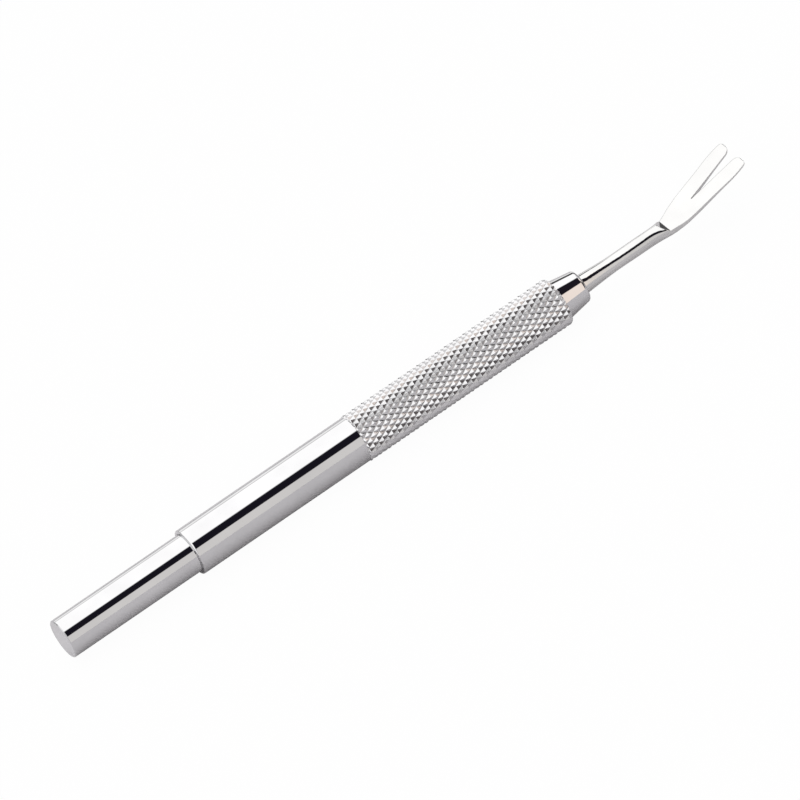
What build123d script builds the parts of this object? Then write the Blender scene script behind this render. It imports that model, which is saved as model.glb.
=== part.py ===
"""Forked pocket lifting tool, pen shaped: forked head, knurled grip, telescoping tail.

Millimetres. +X runs along the handle from the tail to the fork, +Z is the side the
blade bends towards. The origin is the middle of the bounding box's base, so the tool
lies on its grip on the plane Z = 0.
"""
import os

from build123d import *

os.makedirs("parts", exist_ok=True)

# ---- stations along the handle ----
total_length = 148.2
tail_exposed = 27.5
barrel_length = 36.1
grip_length = 44.2
collar_length = 5.06
shank_length = 18.44

tail_face_x = -total_length / 2
barrel_mouth_x = tail_face_x + tail_exposed
grip_rear_x = barrel_mouth_x + barrel_length
grip_front_x = grip_rear_x + grip_length
collar_front_x = grip_front_x + collar_length
shoulder_x = collar_front_x + shank_length
blade_length = total_length / 2 - shoulder_x

# ---- radii ----
grip_radius = 4.66
barrel_radius = 4.5
tail_radius = 3.8
axis_height = grip_radius

# ---- fits ----
fixed_gap = 0.01
running_gap = 0.05
stop_gap = 0.02

handle_axis = Axis((0, 0, axis_height), (1, 0, 0))
side_plane = Plane(origin=(0, 0, axis_height), x_dir=(1, 0, 0), z_dir=(0, -1, 0))

# ---- barrel: smooth tube, guide bore at the mouth, wide bore for the slide head ----
barrel_bore = 4.1
guide_bore = tail_radius + running_gap
guide_length = 5.5
mouth_round = 0.3
guide_end_x = barrel_mouth_x + guide_length

with BuildPart() as barrel:
    with BuildSketch(side_plane):
        with BuildLine():
            Polyline(
                (barrel_mouth_x, guide_bore),
                (barrel_mouth_x, barrel_radius),
                (grip_rear_x, barrel_radius),
                (grip_rear_x, barrel_bore),
                (guide_end_x, barrel_bore),
                (guide_end_x, guide_bore),
                close=True,
            )
        make_face()
        fillet(vertices().sort_by_distance((barrel_mouth_x, barrel_radius))[0], radius=mouth_round)
    revolve(axis=handle_axis)

# ---- grip: sleeve under the knurl, spigot into the barrel, socket for the collar ----
grip_bore = 3.1
spigot_length = 4.0
socket_radius = 3.5
socket_depth = 6.5
grip_edge = 0.15
spigot_end_x = grip_rear_x - spigot_length
socket_floor_x = grip_front_x - socket_depth

with BuildPart() as grip:
    with BuildSketch(side_plane):
        with BuildLine():
            Polyline(
                (spigot_end_x, grip_bore),
                (spigot_end_x, barrel_bore - fixed_gap),
                (grip_rear_x, barrel_bore - fixed_gap),
                (grip_rear_x, grip_radius - grip_edge),
                (grip_rear_x + grip_edge, grip_radius),
                (grip_front_x - grip_edge, grip_radius),
                (grip_front_x, grip_radius - grip_edge),
                (grip_front_x, socket_radius),
                (socket_floor_x, socket_radius),
                (socket_floor_x, grip_bore),
                close=True,
            )
        make_face()
    revolve(axis=handle_axis)

# ---- nose collar: tapered ferrule, screwed into the grip, carries the fork ----
collar_rear_radius = 3.85
collar_front_radius = 3.06
collar_nose_radius = 0.65
collar_spigot = 6.0
collar_back_x = grip_front_x - collar_spigot
shank_socket_radius = 1.76
shank_socket_depth = 3.0
shank_seat_x = collar_front_x - shank_socket_depth
tang_hole_radius = 1.3

with BuildPart() as nose_collar:
    with BuildSketch(side_plane):
        with BuildLine():
            Polyline(
                (collar_back_x, tang_hole_radius),
                (collar_back_x, socket_radius - fixed_gap),
                (grip_front_x, socket_radius - fixed_gap),
                (grip_front_x, collar_rear_radius),
                (collar_front_x, collar_front_radius),
                (collar_front_x, shank_socket_radius),
                (shank_seat_x, shank_socket_radius),
                (shank_seat_x, tang_hole_radius),
                close=True,
            )
        make_face()
    revolve(axis=handle_axis)
    front_edges = edges().filter_by(GeomType.CIRCLE).group_by(Axis.X)[-1]
    fillet(front_edges.sort_by(SortBy.RADIUS)[-1], radius=collar_nose_radius)

# ---- fork: tang, round waisted shank, flattened neck and slotted blade, one forging ----
tang_radius = 1.24
tang_chamfer = 0.2
tang_overhang = 3.1
tang_end_x = collar_back_x - tang_overhang
shank_fit_radius = 1.75
shank_base_radius = 1.90
shank_flare_radius = 1.73
shank_taper_radius = 1.605
shank_waist_radius = 1.485
shank_waist_x = collar_front_x + 7.2
shank_flank = 0.02
neck_radius = 1.51
neck_start_x = shoulder_x - 5.3

# blade: slot and tips seen from above
blade_tip_x = shoulder_x + blade_length
slot_apex_x = shoulder_x + 6.4
slot_apex_half = 0.10
tine_inner_y = 1.30
tine_outer_y = 4.35
tine_outer_round = 0.85
tine_inner_round = 1.30
clear_half_width = 6.0

# blade: ramp and upper face seen from the side
face_height = 0.35
ramp_length = 1.45
ramp_top_z = 1.56
bend_x = shoulder_x + 3.0
bend_z = 1.06
bend_radius = 20.0
tip_z = 5.42
face_slope = (tip_z - bend_z) / (blade_tip_x - bend_x)
clear_above = 8.0


def forged_section(station_x, half_width, wall_top, wall_foot, crown, belly):
    """Cross section of the forging: arched crown, upright flanks, arched belly."""
    with BuildSketch(
        Plane(origin=(station_x, 0, axis_height), x_dir=(0, 1, 0), z_dir=(1, 0, 0))
    ) as section:
        with BuildLine():
            upper = EllipticalCenterArc((0, wall_top), half_width, crown, start_angle=0, arc_size=180)
            Line(upper @ 1, (-half_width, wall_foot))
            lower = EllipticalCenterArc((0, wall_foot), half_width, belly, start_angle=180, arc_size=180)
            Line(lower @ 1, upper @ 0)
        make_face()
    return section.sketch


def round_section(station_x, radius):
    """Cross section of the shank, with a hair of upright flank at each side."""
    arch = radius - shank_flank
    return forged_section(station_x, radius, shank_flank, -shank_flank, arch, arch)


with BuildPart() as fork:
    # one forged body from the collar to the tips, with room above the finished face
    loft(
        sections=[
            round_section(collar_front_x, shank_base_radius),
            round_section(collar_front_x + 2, shank_flare_radius),
            round_section(collar_front_x + 4, shank_taper_radius),
            round_section(shank_waist_x, shank_waist_radius),
            round_section(shank_waist_x + 4, neck_radius),
            round_section(neck_start_x, neck_radius),
            forged_section(shoulder_x - 1.9, 1.56, 0.06, -0.25, 1.44, 1.28),
            forged_section(shoulder_x, 1.94, 0.42, -0.42, 1.08, 0.94),
            forged_section(shoulder_x + 1.2, 2.36, 0.85, -0.24, 0.80, 0.72),
            forged_section(shoulder_x + 2.6, 2.90, 1.25, 0.19, 0.60, 0.40),
            forged_section(shoulder_x + 4.4, 3.34, 1.75, 0.86, 0.50, 0.16),
            forged_section(shoulder_x + 7.0, 3.65, 2.55, 1.74, 0.50, 0.08),
            forged_section(shoulder_x + 11.0, 4.05, 3.80, 3.13, 0.50, 0.06),
            forged_section(shoulder_x + 14.0, 4.38, 4.80, 4.18, 0.50, 0.05),
            forged_section(shoulder_x + 16.4, 4.23, 5.55, 4.98, 0.50, 0.05),
            forged_section(shoulder_x + 18.6, 3.98, 6.25, 5.73, 0.50, 0.05),
        ]
    )
    # slot between the tines, widening towards the tips
    with BuildSketch(Plane.XY):
        with BuildLine():
            Polyline(
                (tang_end_x, 0),
                (tang_end_x, clear_half_width),
                (blade_tip_x - tine_outer_round, clear_half_width),
                (blade_tip_x - tine_outer_round, tine_outer_y),
            )
            RadiusArc(
                (blade_tip_x - tine_outer_round, tine_outer_y),
                (blade_tip_x, tine_outer_y - tine_outer_round),
                tine_outer_round,
            )
            Polyline(
                (blade_tip_x, tine_outer_y - tine_outer_round),
                (blade_tip_x, tine_inner_y),
                (slot_apex_x + slot_apex_half, slot_apex_half),
                (slot_apex_x, 0),
                (tang_end_x, 0),
            )
        make_face()
        mirror(about=Plane.XZ)
        tip_inner = vertices().group_by(Axis.X)[-1].sort_by(lambda corner: abs(corner.Y))
        fillet(tip_inner[0:2], radius=tine_inner_round)
    extrude(amount=axis_height + clear_above, mode=Mode.INTERSECT)
    # everything above the ramp and the blade's gently bent upper face comes off
    with BuildSketch(side_plane):
        with BuildLine():
            Polyline(
                (shoulder_x, face_height),
                (bend_x, bend_z),
                (blade_tip_x + clear_above, tip_z + face_slope * clear_above),
                (shoulder_x - ramp_length, tip_z + face_slope * clear_above),
                (shoulder_x - ramp_length, ramp_top_z),
                close=True,
            )
        make_face()
        fillet(vertices().sort_by_distance((bend_x, bend_z))[0], radius=bend_radius)
    extrude(amount=clear_half_width, both=True, mode=Mode.SUBTRACT)
    # tang through the collar, shouldered where the shank starts
    with BuildSketch(side_plane):
        with BuildLine():
            Polyline(
                (collar_front_x, 0),
                (tang_end_x, 0),
                (tang_end_x, tang_radius - tang_chamfer),
                (tang_end_x + tang_chamfer, tang_radius),
                (shank_seat_x, tang_radius),
                (shank_seat_x, shank_fit_radius),
                (collar_front_x, shank_fit_radius),
                close=True,
            )
        make_face()
    revolve(axis=handle_axis)

# ---- lock washer and nut on the tang, against the back of the collar ----
washer_thickness = 0.6
washer_radius = 2.55
washer_split = 0.5
nut_across_flats = 5.0
nut_height = 2.0
nut_bore = 1.25
washer_back_x = collar_back_x - washer_thickness
nut_back_x = washer_back_x - nut_height

with BuildPart() as fork_lock_washer:
    with BuildSketch(Plane(origin=(washer_back_x, 0, axis_height), x_dir=(0, 1, 0), z_dir=(1, 0, 0))):
        Circle(washer_radius)
        Circle(tang_hole_radius, mode=Mode.SUBTRACT)
        with Locations((0, washer_radius)):
            Rectangle(washer_split, 2 * (washer_radius - 0.5 * tang_hole_radius), mode=Mode.SUBTRACT)
    extrude(amount=washer_thickness)

with BuildPart() as fork_nut:
    with BuildSketch(Plane(origin=(nut_back_x, 0, axis_height), x_dir=(0, 1, 0), z_dir=(1, 0, 0))):
        RegularPolygon(nut_across_flats / 2, side_count=6, major_radius=False)
    extrude(amount=nut_height)
    with BuildSketch(Plane(origin=(nut_back_x, 0, axis_height), x_dir=(0, 1, 0), z_dir=(1, 0, 0))):
        Circle(nut_bore)
    extrude(amount=nut_height, mode=Mode.SUBTRACT)

# ---- tail: closed-ended tube that slides in the barrel ----
tail_bore = 3.2
tail_wall = 1.6
tail_edge = 0.15
tail_end_x = guide_end_x + stop_gap

with BuildPart() as tail_tube:
    with BuildSketch(side_plane):
        with BuildLine():
            Polyline(
                (tail_face_x, 0),
                (tail_face_x, tail_radius - tail_edge),
                (tail_face_x + tail_edge, tail_radius),
                (tail_end_x, tail_radius),
                (tail_end_x, tail_bore),
                (tail_face_x + tail_wall, tail_bore),
                (tail_face_x + tail_wall, 0),
                close=True,
            )
        make_face()
    revolve(axis=handle_axis)

# ---- slide head: plug in the tail's inner end, stop flange, journal for the ring ----
plug_length = 7.0
flange_radius = barrel_bore - running_gap
flange_length = 1.4
journal_radius = 2.6
ring_width = 4.0
ring_play = 0.05
screw_bore = 1.25
screw_bore_depth = 6.5
plug_end_x = tail_end_x - plug_length
flange_front_x = tail_end_x + flange_length
journal_end_x = flange_front_x + ring_width + 2 * ring_play

with BuildPart() as slide_head:
    with BuildSketch(side_plane):
        with BuildLine():
            Polyline(
                (plug_end_x, 0),
                (plug_end_x, tail_bore - fixed_gap),
                (tail_end_x, tail_bore - fixed_gap),
                (tail_end_x, flange_radius),
                (flange_front_x, flange_radius),
                (flange_front_x, journal_radius),
                (journal_end_x, journal_radius),
                (journal_end_x, screw_bore),
                (journal_end_x - screw_bore_depth, screw_bore),
                (journal_end_x - screw_bore_depth, 0),
                close=True,
            )
        make_face()
    revolve(axis=handle_axis)

# ---- friction ring: split acetal ring, grips the barrel, turns on the journal ----
ring_radius = barrel_bore - 0.02
ring_slit = 0.8
ring_rear_x = flange_front_x + ring_play

with BuildPart() as friction_ring:
    with BuildSketch(Plane(origin=(ring_rear_x, 0, axis_height), x_dir=(0, 1, 0), z_dir=(1, 0, 0))):
        Circle(ring_radius)
        Circle(journal_radius + running_gap, mode=Mode.SUBTRACT)
        with Locations((0, ring_radius)):
            Rectangle(ring_slit, 2 * (ring_radius - 0.5 * journal_radius), mode=Mode.SUBTRACT)
    extrude(amount=ring_width)

# ---- washer and pan head screw that hold the ring on the journal ----
head_washer_radius = 3.6
head_washer_thickness = 0.5
screw_radius = 1.24
screw_length = 6.0
screw_head_radius = 2.25
screw_head_height = 1.5
screw_head_round = 0.6
screw_slot_width = 0.6
screw_slot_depth = 0.7
head_washer_front_x = journal_end_x + head_washer_thickness
screw_head_front_x = head_washer_front_x + screw_head_height

with BuildPart() as head_washer:
    with BuildSketch(Plane(origin=(journal_end_x, 0, axis_height), x_dir=(0, 1, 0), z_dir=(1, 0, 0))):
        Circle(head_washer_radius)
        Circle(tang_hole_radius, mode=Mode.SUBTRACT)
    extrude(amount=head_washer_thickness)

with BuildPart() as head_screw:
    with BuildSketch(side_plane):
        with BuildLine():
            Polyline(
                (head_washer_front_x - screw_length, 0),
                (head_washer_front_x - screw_length, screw_radius),
                (head_washer_front_x, screw_radius),
                (head_washer_front_x, screw_head_radius),
                (screw_head_front_x, screw_head_radius),
                (screw_head_front_x, 0),
                close=True,
            )
        make_face()
    revolve(axis=handle_axis)
    head_edges = edges().filter_by(GeomType.CIRCLE).group_by(Axis.X)[-1]
    fillet(head_edges, radius=screw_head_round)
    with BuildSketch(Plane(origin=(screw_head_front_x, 0, axis_height), x_dir=(0, 1, 0), z_dir=(1, 0, 0))):
        Rectangle(2.4 * screw_head_radius, screw_slot_width)
    extrude(amount=-screw_slot_depth, mode=Mode.SUBTRACT)

barrel.part.label = "barrel"
grip.part.label = "grip"
nose_collar.part.label = "nose_collar"
fork.part.label = "fork"
fork_lock_washer.part.label = "fork_lock_washer"
fork_nut.part.label = "fork_nut"
tail_tube.part.label = "tail_tube"
slide_head.part.label = "slide_head"
friction_ring.part.label = "friction_ring"
head_washer.part.label = "head_washer"
head_screw.part.label = "head_screw"

export_step(barrel.part, "parts/barrel.step")
export_step(grip.part, "parts/grip.step")
export_step(nose_collar.part, "parts/nose_collar.step")
export_step(fork.part, "parts/fork.step")
export_step(fork_lock_washer.part, "parts/fork_lock_washer.step")
export_step(fork_nut.part, "parts/fork_nut.step")
export_step(tail_tube.part, "parts/tail_tube.step")
export_step(slide_head.part, "parts/slide_head.step")
export_step(friction_ring.part, "parts/friction_ring.step")
export_step(head_washer.part, "parts/head_washer.step")
export_step(head_screw.part, "parts/head_screw.step")
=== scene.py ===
import math

import bmesh
import bpy
from mathutils import Matrix, Vector


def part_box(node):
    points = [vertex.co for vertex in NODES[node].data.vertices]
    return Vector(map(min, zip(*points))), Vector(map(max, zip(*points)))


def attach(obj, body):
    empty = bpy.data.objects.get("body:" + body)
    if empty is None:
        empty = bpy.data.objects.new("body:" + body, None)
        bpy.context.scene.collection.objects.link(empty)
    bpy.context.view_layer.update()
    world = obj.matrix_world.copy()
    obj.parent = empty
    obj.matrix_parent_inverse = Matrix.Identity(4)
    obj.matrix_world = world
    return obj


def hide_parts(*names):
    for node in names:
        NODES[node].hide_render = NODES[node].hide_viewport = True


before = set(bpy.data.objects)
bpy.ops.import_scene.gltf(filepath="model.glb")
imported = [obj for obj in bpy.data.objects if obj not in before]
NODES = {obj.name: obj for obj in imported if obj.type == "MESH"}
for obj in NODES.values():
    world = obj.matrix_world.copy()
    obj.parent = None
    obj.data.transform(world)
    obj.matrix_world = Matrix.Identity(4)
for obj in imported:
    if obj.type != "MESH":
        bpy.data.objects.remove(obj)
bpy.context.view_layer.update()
MM = 0.001
NEUTRAL = (1.0, 1.0, 1.0)

# ---------------------------------------------------------------- camera
CAM_RIGHT = Vector((0.80221, -0.50698, -0.31532))
CAM_UP = Vector((0.54805, 0.41581, 0.72577))
CAM_BACK = Vector((-0.23684, -0.75504, 0.61142))
CAM_TARGET = Vector((0.0, 0.000474, 0.005934))
CAM_DISTANCE = 5.0
CLIP_NEAR = 0.1
CLIP_FAR = 100.0
VIEW_WIDTH = 0.13986
SENSOR = 36.0


def place_camera():
    data = bpy.data.cameras.new("camera")
    data.sensor_width = SENSOR
    data.lens = SENSOR * CAM_DISTANCE / VIEW_WIDTH
    data.clip_start = CLIP_NEAR
    data.clip_end = CLIP_FAR
    camera = bpy.data.objects.new("camera", data)
    bpy.context.scene.collection.objects.link(camera)
    axes = Matrix((CAM_RIGHT, CAM_UP, CAM_BACK)).transposed()
    place = Matrix.Translation(CAM_TARGET + CAM_DISTANCE * CAM_BACK)
    camera.matrix_world = place @ axes.to_4x4()
    bpy.context.scene.camera = camera
    bpy.context.scene.view_settings.view_transform = "Standard"


# ---------------------------------------------------------------- node helpers
class Graph:
    """Short calls for adding and linking shader nodes."""

    def __init__(self, tree):
        self.tree = tree

    def add(self, kind, **settings):
        node = self.tree.nodes.new(kind)
        for key, value in settings.items():
            setattr(node, key, value)
        return node

    def link(self, source, target):
        self.tree.links.new(source, target)

    def math(self, operation, first, second=0.0):
        node = self.add("ShaderNodeMath", operation=operation)
        for socket, value in zip(node.inputs, (first, second)):
            if isinstance(value, (int, float)):
                socket.default_value = value
            else:
                self.link(value, socket)
        return node.outputs[0]

    def remap(self, value, from_low, from_high, to_low=0.0, to_high=1.0):
        node = self.add("ShaderNodeMapRange")
        for name, number in (
            ("From Min", from_low),
            ("From Max", from_high),
            ("To Min", to_low),
            ("To Max", to_high),
        ):
            node.inputs[name].default_value = number
        self.link(value, node.inputs["Value"])
        return node.outputs["Result"]

    def ramp(self, value, stops):
        node = self.add("ShaderNodeValToRGB")
        elements = node.color_ramp.elements
        while len(elements) < len(stops):
            elements.new(0.5)
        for element, (position, colour) in zip(elements, stops):
            element.position = position
            element.color = (*colour, 1.0)
        self.link(value, node.inputs["Fac"])
        return node.outputs["Color"]

    def blend(self, share, first, second):
        """Colour that is `first` at share 0 and `second` at share 1."""
        node = self.add("ShaderNodeMix", data_type="RGBA")
        self.link(share, node.inputs[0])
        # sockets 6 and 7 are the two colours, and output 2 is the mixed one
        for socket, colour in ((node.inputs[6], first), (node.inputs[7], second)):
            if isinstance(colour, tuple):
                socket.default_value = (*colour, 1.0)
            else:
                self.link(colour, socket)
        return node.outputs[2]


# ---------------------------------------------------------------- light
# The sky is laid out on a flat ceiling one unit up. Bands run across it on a slant, told
# apart by (y - BAND_SLANT x) / z: a pale wall in front, a black flag, then the big soft box.
BAND_SLANT = 1.75
BAND_REACH = 6.0
WALL = (1.06, 1.03, 1.0)
FLAG = (0.014, 0.012, 0.02)
SOFT_BOX = (1.8, 1.79, 1.77)
CEILING_BANDS = (
    (-6.0, WALL),
    (-2.12, WALL),
    (-2.02, FLAG),
    (-0.88, FLAG),
    (-0.80, SOFT_BOX),
    (3.8, SOFT_BOX),
    (6.0, (0.9, 0.9, 0.9)),
)
# Low behind the tool the soft box ends in a thin dim bar, told by z / y.
BACK_BARS = (
    (0.0, (0.78, 0.78, 0.78)),
    (0.38, (0.80, 0.80, 0.80)),
    (0.42, (0.45, 0.45, 0.45)),
    (0.47, (0.45, 0.45, 0.45)),
    (0.52, NEUTRAL),
)
# A small flag stands low behind the fork, with a soft edge; its edge and core are cosines
# of the angle from its middle.
LOW_FLAG = (0.47, 0.79, 0.40)
LOW_FLAG_EDGE = 0.976
LOW_FLAG_CORE = 0.986
LOW_FLAG_LIGHT = 0.10
# Past the fork the tent ends: dark low down and in front, pale above.
END_START_X = 0.56
END_FULL_X = 0.64
END_DARK_Z = 0.28
END_PALE_Z = 0.42
END_DARK_Y = -0.3
END_PALE_Y = -0.15
END_DARK = (0.08, 0.08, 0.09)
END_PALE = (1.2, 1.18, 1.17)
# In front the wall grows brighter and warmer towards the fork's end.
WARM_START_X = 0.3
WARM_FULL_X = 0.5
WARM_WALL = (1.42, 1.28, 1.18)
# Divisors are kept above this near the horizon.
HORIZON = 0.001


def ceiling_colour(g, x, y, z):
    across = g.math("SUBTRACT", y, g.math("MULTIPLY", x, BAND_SLANT))
    place = g.math("DIVIDE", across, g.math("MAXIMUM", z, HORIZON))
    turn = g.remap(place, -BAND_REACH, BAND_REACH)
    stops = [((q + BAND_REACH) / (2.0 * BAND_REACH), c) for q, c in CEILING_BANDS]
    return g.ramp(turn, stops)


def add_end_wall(g, colour, x, y, z):
    above = g.remap(z, END_DARK_Z, END_PALE_Z)
    behind = g.remap(y, END_DARK_Y, END_PALE_Y)
    end_colour = g.blend(g.math("MULTIPLY", above, behind), END_DARK, END_PALE)
    return g.blend(g.remap(x, END_START_X, END_FULL_X), colour, end_colour)


def warm_front(g, colour, x, y):
    in_front = g.math("LESS_THAN", y)
    warmth = g.math("MULTIPLY", in_front, g.remap(x, WARM_START_X, WARM_FULL_X))
    product = g.add("ShaderNodeVectorMath", operation="MULTIPLY")
    g.link(colour, product.inputs[0])
    g.link(g.blend(warmth, NEUTRAL, WARM_WALL), product.inputs[1])
    return product.outputs[0]


def low_flag_share(g, direction):
    nearness = g.add("ShaderNodeVectorMath", operation="DOT_PRODUCT")
    g.link(direction, nearness.inputs[0])
    nearness.inputs[1].default_value = LOW_FLAG
    return g.remap(nearness.outputs["Value"], LOW_FLAG_EDGE, LOW_FLAG_CORE, 1.0, LOW_FLAG_LIGHT)


def back_bar_share(g, y, z):
    climb = g.math("DIVIDE", g.math("ABSOLUTE", z), g.math("MAXIMUM", y, HORIZON))
    return g.ramp(climb, BACK_BARS)


def light_world():
    """Studio tent for light and reflections; the camera itself sees plain white."""
    world = bpy.data.worlds.new("studio")
    bpy.context.scene.world = world
    world.use_nodes = True
    world.node_tree.nodes.clear()
    g = Graph(world.node_tree)
    direction = g.add("ShaderNodeTexCoord").outputs["Generated"]
    split = g.add("ShaderNodeSeparateXYZ")
    g.link(direction, split.inputs[0])
    x, y, z = split.outputs
    colour = add_end_wall(g, ceiling_colour(g, x, y, z), x, y, z)
    tent = g.add("ShaderNodeBackground")
    g.link(warm_front(g, colour, x, y), tent.inputs["Color"])
    strength = g.math("MULTIPLY", low_flag_share(g, direction), back_bar_share(g, y, z))
    g.link(strength, tent.inputs["Strength"])
    white = g.add("ShaderNodeBackground")
    white.inputs["Color"].default_value = (*NEUTRAL, 1.0)
    mix = g.add("ShaderNodeMixShader")
    g.link(g.add("ShaderNodeLightPath").outputs["Is Camera Ray"], mix.inputs["Fac"])
    g.link(tent.outputs[0], mix.inputs[1])
    g.link(white.outputs[0], mix.inputs[2])
    g.link(mix.outputs[0], g.add("ShaderNodeOutputWorld").inputs["Surface"])


# ---------------------------------------------------------------- materials
# Noise scales count features per metre; stretches below 1 draw them out along the tool.
NOISE_DETAIL = 4.0
EVEN = (1.0, 1.0, 1.0)
CLOUD_SCALE = 180.0
CLOUD_SPAN = (0.3, 0.7)
HAZE_SCALE = 700.0
HAZE_STRETCH = (0.25, 1.0, 1.0)
HAZE_SPAN = (0.3, 0.75)
BUFF_SCALE = 420.0
BUFF_STRETCH = (0.3, 1.0, 1.0)
BUFF_HEIGHT = 0.02 * MM
EDGE_SAMPLES = 8
POLISHED_EDGE = 0.20 * MM
STAIN_SCALE = 500.0
STAIN_SPAN = (0.25, 0.75)
GLOSS_SPAN = (0.2, 0.8)
GLOSS_SPREAD = (0.8, 1.25)
RING_STRENGTH = 0.6
RING_DISTORTION = 1.2
# A wave texture of scale 1 repeats every 2 pi / 20.
WAVE_REPEAT = 0.314
MOTTLE_SCALE = 900.0
MOTTLE_SPREAD = 0.15
GRAIN_SCALE = 6000.0
GRAIN_STRENGTH = 0.3
GRAIN_HEIGHT = 0.01 * MM

POLISH = (0.02, 0.05)
CHROME = ((0.53, 0.53, 0.54), (0.57, 0.57, 0.58))
POLISHED_STEEL = ((0.53, 0.53, 0.53), (0.57, 0.57, 0.57))
KNURL_CHROME = ((0.52, 0.52, 0.53), (0.58, 0.58, 0.59))
TURNED_STEEL = ((0.42, 0.42, 0.43), (0.56, 0.56, 0.57))
TURNED_BRASS = ((0.62, 0.42, 0.16), (0.78, 0.56, 0.25))
WHITE_ACETAL = ((0.70, 0.70, 0.66), (0.80, 0.80, 0.77))


def new_material(name):
    material = bpy.data.materials.new(name)
    material.use_nodes = True
    graph = Graph(material.node_tree)
    shader = material.node_tree.nodes["Principled BSDF"]
    return material, graph, shader


def object_noise(g, scale, stretch=EVEN):
    """Noise in object space."""
    mapping = g.add("ShaderNodeMapping")
    mapping.inputs["Scale"].default_value = stretch
    g.link(g.add("ShaderNodeTexCoord").outputs["Object"], mapping.inputs["Vector"])
    noise = g.add("ShaderNodeTexNoise")
    noise.inputs["Scale"].default_value = scale
    noise.inputs["Detail"].default_value = NOISE_DETAIL
    g.link(mapping.outputs["Vector"], noise.inputs["Vector"])
    return noise.outputs["Fac"]


def vary_colour(g, shader, noise, span, colours):
    stops = tuple(zip(span, colours))
    g.link(g.ramp(noise, stops), shader.inputs["Base Color"])


def add_bump(g, shader, height, strength, distance):
    bump = g.add("ShaderNodeBump")
    bump.inputs["Strength"].default_value = strength
    bump.inputs["Distance"].default_value = distance
    g.link(height, bump.inputs["Height"])
    g.link(bump.outputs["Normal"], shader.inputs["Normal"])
    return bump


def plated(name, colours, roughness, wave=0.02, edge=0.0):
    """Bright plating: faint clouding, patches of polish and the wave left by buffing."""
    material, g, shader = new_material(name)
    shader.inputs["Metallic"].default_value = 1.0
    vary_colour(g, shader, object_noise(g, CLOUD_SCALE), CLOUD_SPAN, colours)
    haze = object_noise(g, HAZE_SCALE, HAZE_STRETCH)
    g.link(g.remap(haze, *HAZE_SPAN, *roughness), shader.inputs["Roughness"])
    bump = add_bump(g, shader, object_noise(g, BUFF_SCALE, BUFF_STRETCH), wave, BUFF_HEIGHT)
    if edge:
        rounding = g.add("ShaderNodeBevel", samples=EDGE_SAMPLES)
        rounding.inputs["Radius"].default_value = edge
        g.link(rounding.outputs["Normal"], bump.inputs["Normal"])
    return material


def turned(name, colours, roughness, pitch, depth):
    """Metal with the fine rings that turning leaves round the tool's long axis."""
    material, g, shader = new_material(name)
    shader.inputs["Metallic"].default_value = 1.0
    stain = object_noise(g, STAIN_SCALE)
    vary_colour(g, shader, stain, STAIN_SPAN, colours)
    low, high = (roughness * share for share in GLOSS_SPREAD)
    g.link(g.remap(stain, *GLOSS_SPAN, low, high), shader.inputs["Roughness"])
    rings = g.add("ShaderNodeTexWave", wave_type="BANDS", bands_direction="X")
    rings.inputs["Scale"].default_value = WAVE_REPEAT / pitch
    rings.inputs["Distortion"].default_value = RING_DISTORTION
    g.link(g.add("ShaderNodeTexCoord").outputs["Object"], rings.inputs["Vector"])
    add_bump(g, shader, rings.outputs["Fac"], RING_STRENGTH, depth)
    return material


def moulded(name, colours, roughness):
    """Slightly mottled plastic with a fine grain."""
    material, g, shader = new_material(name)
    mottle = object_noise(g, MOTTLE_SCALE)
    vary_colour(g, shader, mottle, CLOUD_SPAN, colours)
    dull = g.remap(mottle, *GLOSS_SPAN, roughness, roughness + MOTTLE_SPREAD)
    g.link(dull, shader.inputs["Roughness"])
    add_bump(g, shader, object_noise(g, GRAIN_SCALE), GRAIN_STRENGTH, GRAIN_HEIGHT)
    return material


def slot_materials():
    return {
        "polished_fork": plated("polished_fork", POLISHED_STEEL, (0.02, 0.06), edge=POLISHED_EDGE),
        "chrome_collar": plated("chrome_collar", CHROME, POLISH),
        "knurled_chrome": plated("knurled_chrome", KNURL_CHROME, (0.17, 0.26), wave=0.1),
        "chrome_tube": plated("chrome_tube", CHROME, POLISH),
        "chrome_tail": plated("chrome_tail", CHROME, POLISH),
        "steel_hardware": turned("steel_hardware", TURNED_STEEL, 0.3, 0.12 * MM, 0.004 * MM),
        "brass_turned": turned("brass_turned", TURNED_BRASS, 0.24, 0.15 * MM, 0.006 * MM),
        "acetal": moulded("acetal", WHITE_ACETAL, 0.35),
    }


# ---------------------------------------------------------------- knurled grip
# The sleeve's knurled length carries two hands of grooves; a spigot stands out behind it.
KNURL_STARTS = 24
KNURL_REPEATS = 22
KNURL_PHASE = 0.17
KNURL_DEPTH = 0.34 * MM
KNURL_LAND = 0.12
END_BEVEL = 0.30 * MM
END_DROP = 0.26 * MM
SPIGOT_RADIUS = 4.09 * MM
SPIGOT_LENGTH = 4.0 * MM
BORE_RADIUS = 3.1 * MM
SOCKET_RADIUS = 3.5 * MM
SOCKET_DEPTH = 6.5 * MM
SAME_PLACE = 1e-7

GRIP_LOW, GRIP_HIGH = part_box("grip")
GRIP_RADIUS = 0.5 * (GRIP_HIGH.z - GRIP_LOW.z)
AXIS_Z = 0.5 * (GRIP_HIGH.z + GRIP_LOW.z)
FRONT_X = GRIP_HIGH.x
REAR_X = GRIP_LOW.x + SPIGOT_LENGTH
KNURL_REPEAT = (FRONT_X - REAR_X) / KNURL_REPEATS


def ring_point(x, radius, theta):
    return Vector((x, radius * math.sin(theta), AXIS_Z + radius * math.cos(theta)))


def groove_point(a, b, radius):
    """Point on the sleeve; a and b count grooves of the two hands."""
    x = REAR_X + KNURL_REPEAT * (0.5 * (a - b) + KNURL_PHASE)
    return ring_point(x, radius, math.pi * (a + b) / KNURL_STARTS)


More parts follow.
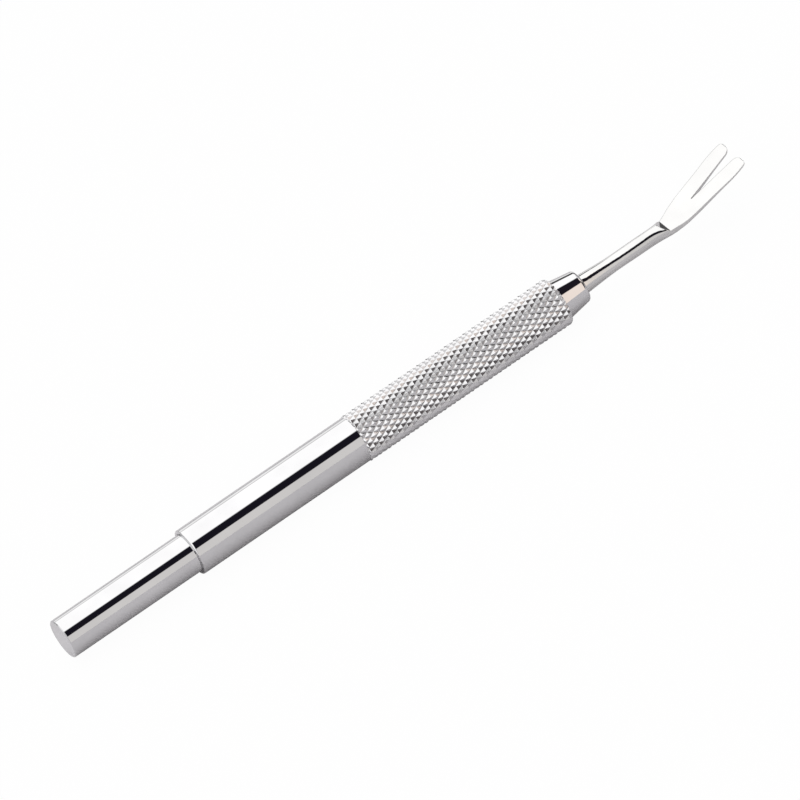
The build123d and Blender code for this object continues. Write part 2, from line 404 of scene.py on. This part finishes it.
def square_cell(bm, a, b, margin, radius):
    """Four corners of the cell between grooves a, a + 1 and b, b + 1, inset by a margin."""
    near = margin
    far = 1.0 - margin
    corners = ((near, near), (far, near), (far, far), (near, far))
    return [bm.verts.new(groove_point(a + u, b + v, radius)) for u, v in corners]


def raise_pyramids(bm):
    for row in range(-2, 2 * KNURL_REPEATS + 2):
        for start in range(KNURL_STARTS):
            # the middle of this cell lies half a repeat further on for each row
            a = start + row // 2 + row % 2
            b = start - row // 2
            foot = square_cell(bm, a, b, 0.0, GRIP_RADIUS - KNURL_DEPTH)
            land = square_cell(bm, a, b, 0.5 - 0.5 * KNURL_LAND, GRIP_RADIUS)
            bm.faces.new(land)
            for i in range(4):
                j = (i + 1) % 4
                bm.faces.new((foot[i], foot[j], land[j], land[i]))
    bmesh.ops.remove_doubles(bm, verts=bm.verts, dist=SAME_PLACE)


def trim_ends(bm):
    """Cut the pyramids off square at both ends, with one more edge for the bevel."""
    for x, side in ((REAR_X, -1.0), (FRONT_X, 1.0)):
        for inset, trim in ((END_BEVEL, False), (0.0, True)):
            bmesh.ops.bisect_plane(
                bm,
                geom=bm.verts[:] + bm.edges[:] + bm.faces[:],
                plane_co=(x - side * inset, 0.0, 0.0),
                plane_no=(side, 0.0, 0.0),
                clear_outer=trim,
            )


def turn_of(vert):
    return math.atan2(vert.co.y, vert.co.z - AXIS_Z)


def bevelled_rim(bm, x):
    """The cut edge at one end, in order round the axis and drawn in to the bevel's foot."""
    rim = [v for v in bm.verts if abs(v.co.x - x) < SAME_PLACE]
    rim.sort(key=turn_of)
    for v in rim:
        radius = math.hypot(v.co.y, v.co.z - AXIS_Z)
        scale = min(radius, GRIP_RADIUS - END_DROP) / radius
        v.co.y *= scale
        v.co.z = AXIS_Z + (v.co.z - AXIS_Z) * scale
    return rim


def close_sleeve(bm, rear, front):
    """Spigot, bore and socket, as rings from the rear rim through the inside to the front."""
    assert len(rear) == len(front)
    profile = (
        (REAR_X, SPIGOT_RADIUS),
        (REAR_X - SPIGOT_LENGTH, SPIGOT_RADIUS),
        (REAR_X - SPIGOT_LENGTH, BORE_RADIUS),
        (FRONT_X - SOCKET_DEPTH, BORE_RADIUS),
        (FRONT_X - SOCKET_DEPTH, SOCKET_RADIUS),
        (FRONT_X, SOCKET_RADIUS),
    )
    turns = [turn_of(v) for v in rear]
    inner = [[bm.verts.new(ring_point(x, r, t)) for t in turns] for x, r in profile]
    loops = [rear, *inner, front]
    for first, second in zip(loops, loops[1:]):
        for i in range(len(turns)):
            j = (i + 1) % len(turns)
            bm.faces.new((first[i], second[i], second[j], first[j]))
    bmesh.ops.recalc_face_normals(bm, faces=bm.faces)


def knurl_grip():
    """Sleeve with real diamond knurling: flat-topped pyramids between two hands of grooves."""
    bm = bmesh.new()
    raise_pyramids(bm)
    trim_ends(bm)
    close_sleeve(bm, bevelled_rim(bm, REAR_X), bevelled_rim(bm, FRONT_X))
    mesh = bpy.data.meshes.new("grip_knurl")
    bm.to_mesh(mesh)
    bm.free()
    mesh.materials.append(MATERIALS["knurled_chrome"])
    piece = bpy.data.objects.new("grip_knurl", mesh)
    bpy.context.scene.collection.objects.link(piece)
    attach(piece, "handle")
    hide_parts("grip")


# ---------------------------------------------------------------- floor
FLOOR_HALF = 3.0
FLOOR_COLOUR = (0.62, 0.61, 0.63, 1.0)
FLOOR_ROUGHNESS = 0.9
SHEET_GLOW = 0.97


def lay_floor():
    """Seamless pale sheet, lifted to white where the camera sees it."""
    s = FLOOR_HALF
    mesh = bpy.data.meshes.new("floor")
    mesh.from_pydata([(-s, -s, 0), (s, -s, 0), (s, s, 0), (-s, s, 0)], [], [(0, 1, 2, 3)])
    floor = bpy.data.objects.new("floor", mesh)
    bpy.context.scene.collection.objects.link(floor)
    material, g, shader = new_material("floor")
    shader.inputs["Roughness"].default_value = FLOOR_ROUGHNESS
    shader.inputs["Specular IOR Level"].default_value = 0.0
    shader.inputs["Base Color"].default_value = FLOOR_COLOUR
    seen = g.add("ShaderNodeLightPath").outputs["Is Camera Ray"]
    glow = g.add("ShaderNodeEmission")
    lift = g.add("ShaderNodeMixShader")
    g.link(g.math("MULTIPLY", seen, SHEET_GLOW), lift.inputs["Fac"])
    g.link(shader.outputs[0], lift.inputs[1])
    g.link(glow.outputs[0], lift.inputs[2])
    g.link(lift.outputs[0], material.node_tree.nodes["Material Output"].inputs["Surface"])
    mesh.materials.append(material)


# ---------------------------------------------------------------- the scene
NODE_SLOTS = {
    "barrel": "chrome_tube",
    "grip": "knurled_chrome",
    "nose_collar": "chrome_collar",
    "fork": "polished_fork",
    "fork_lock_washer": "steel_hardware",
    "fork_nut": "steel_hardware",
    "tail_tube": "chrome_tail",
    "slide_head": "brass_turned",
    "friction_ring": "acetal",
    "head_washer": "steel_hardware",
    "head_screw": "steel_hardware",
}

place_camera()
light_world()
MATERIALS = slot_materials()
for node_name, slot_name in NODE_SLOTS.items():
    for material_slot in NODES[node_name].material_slots:
        material_slot.material = MATERIALS[slot_name]
knurl_grip()
lay_floor()
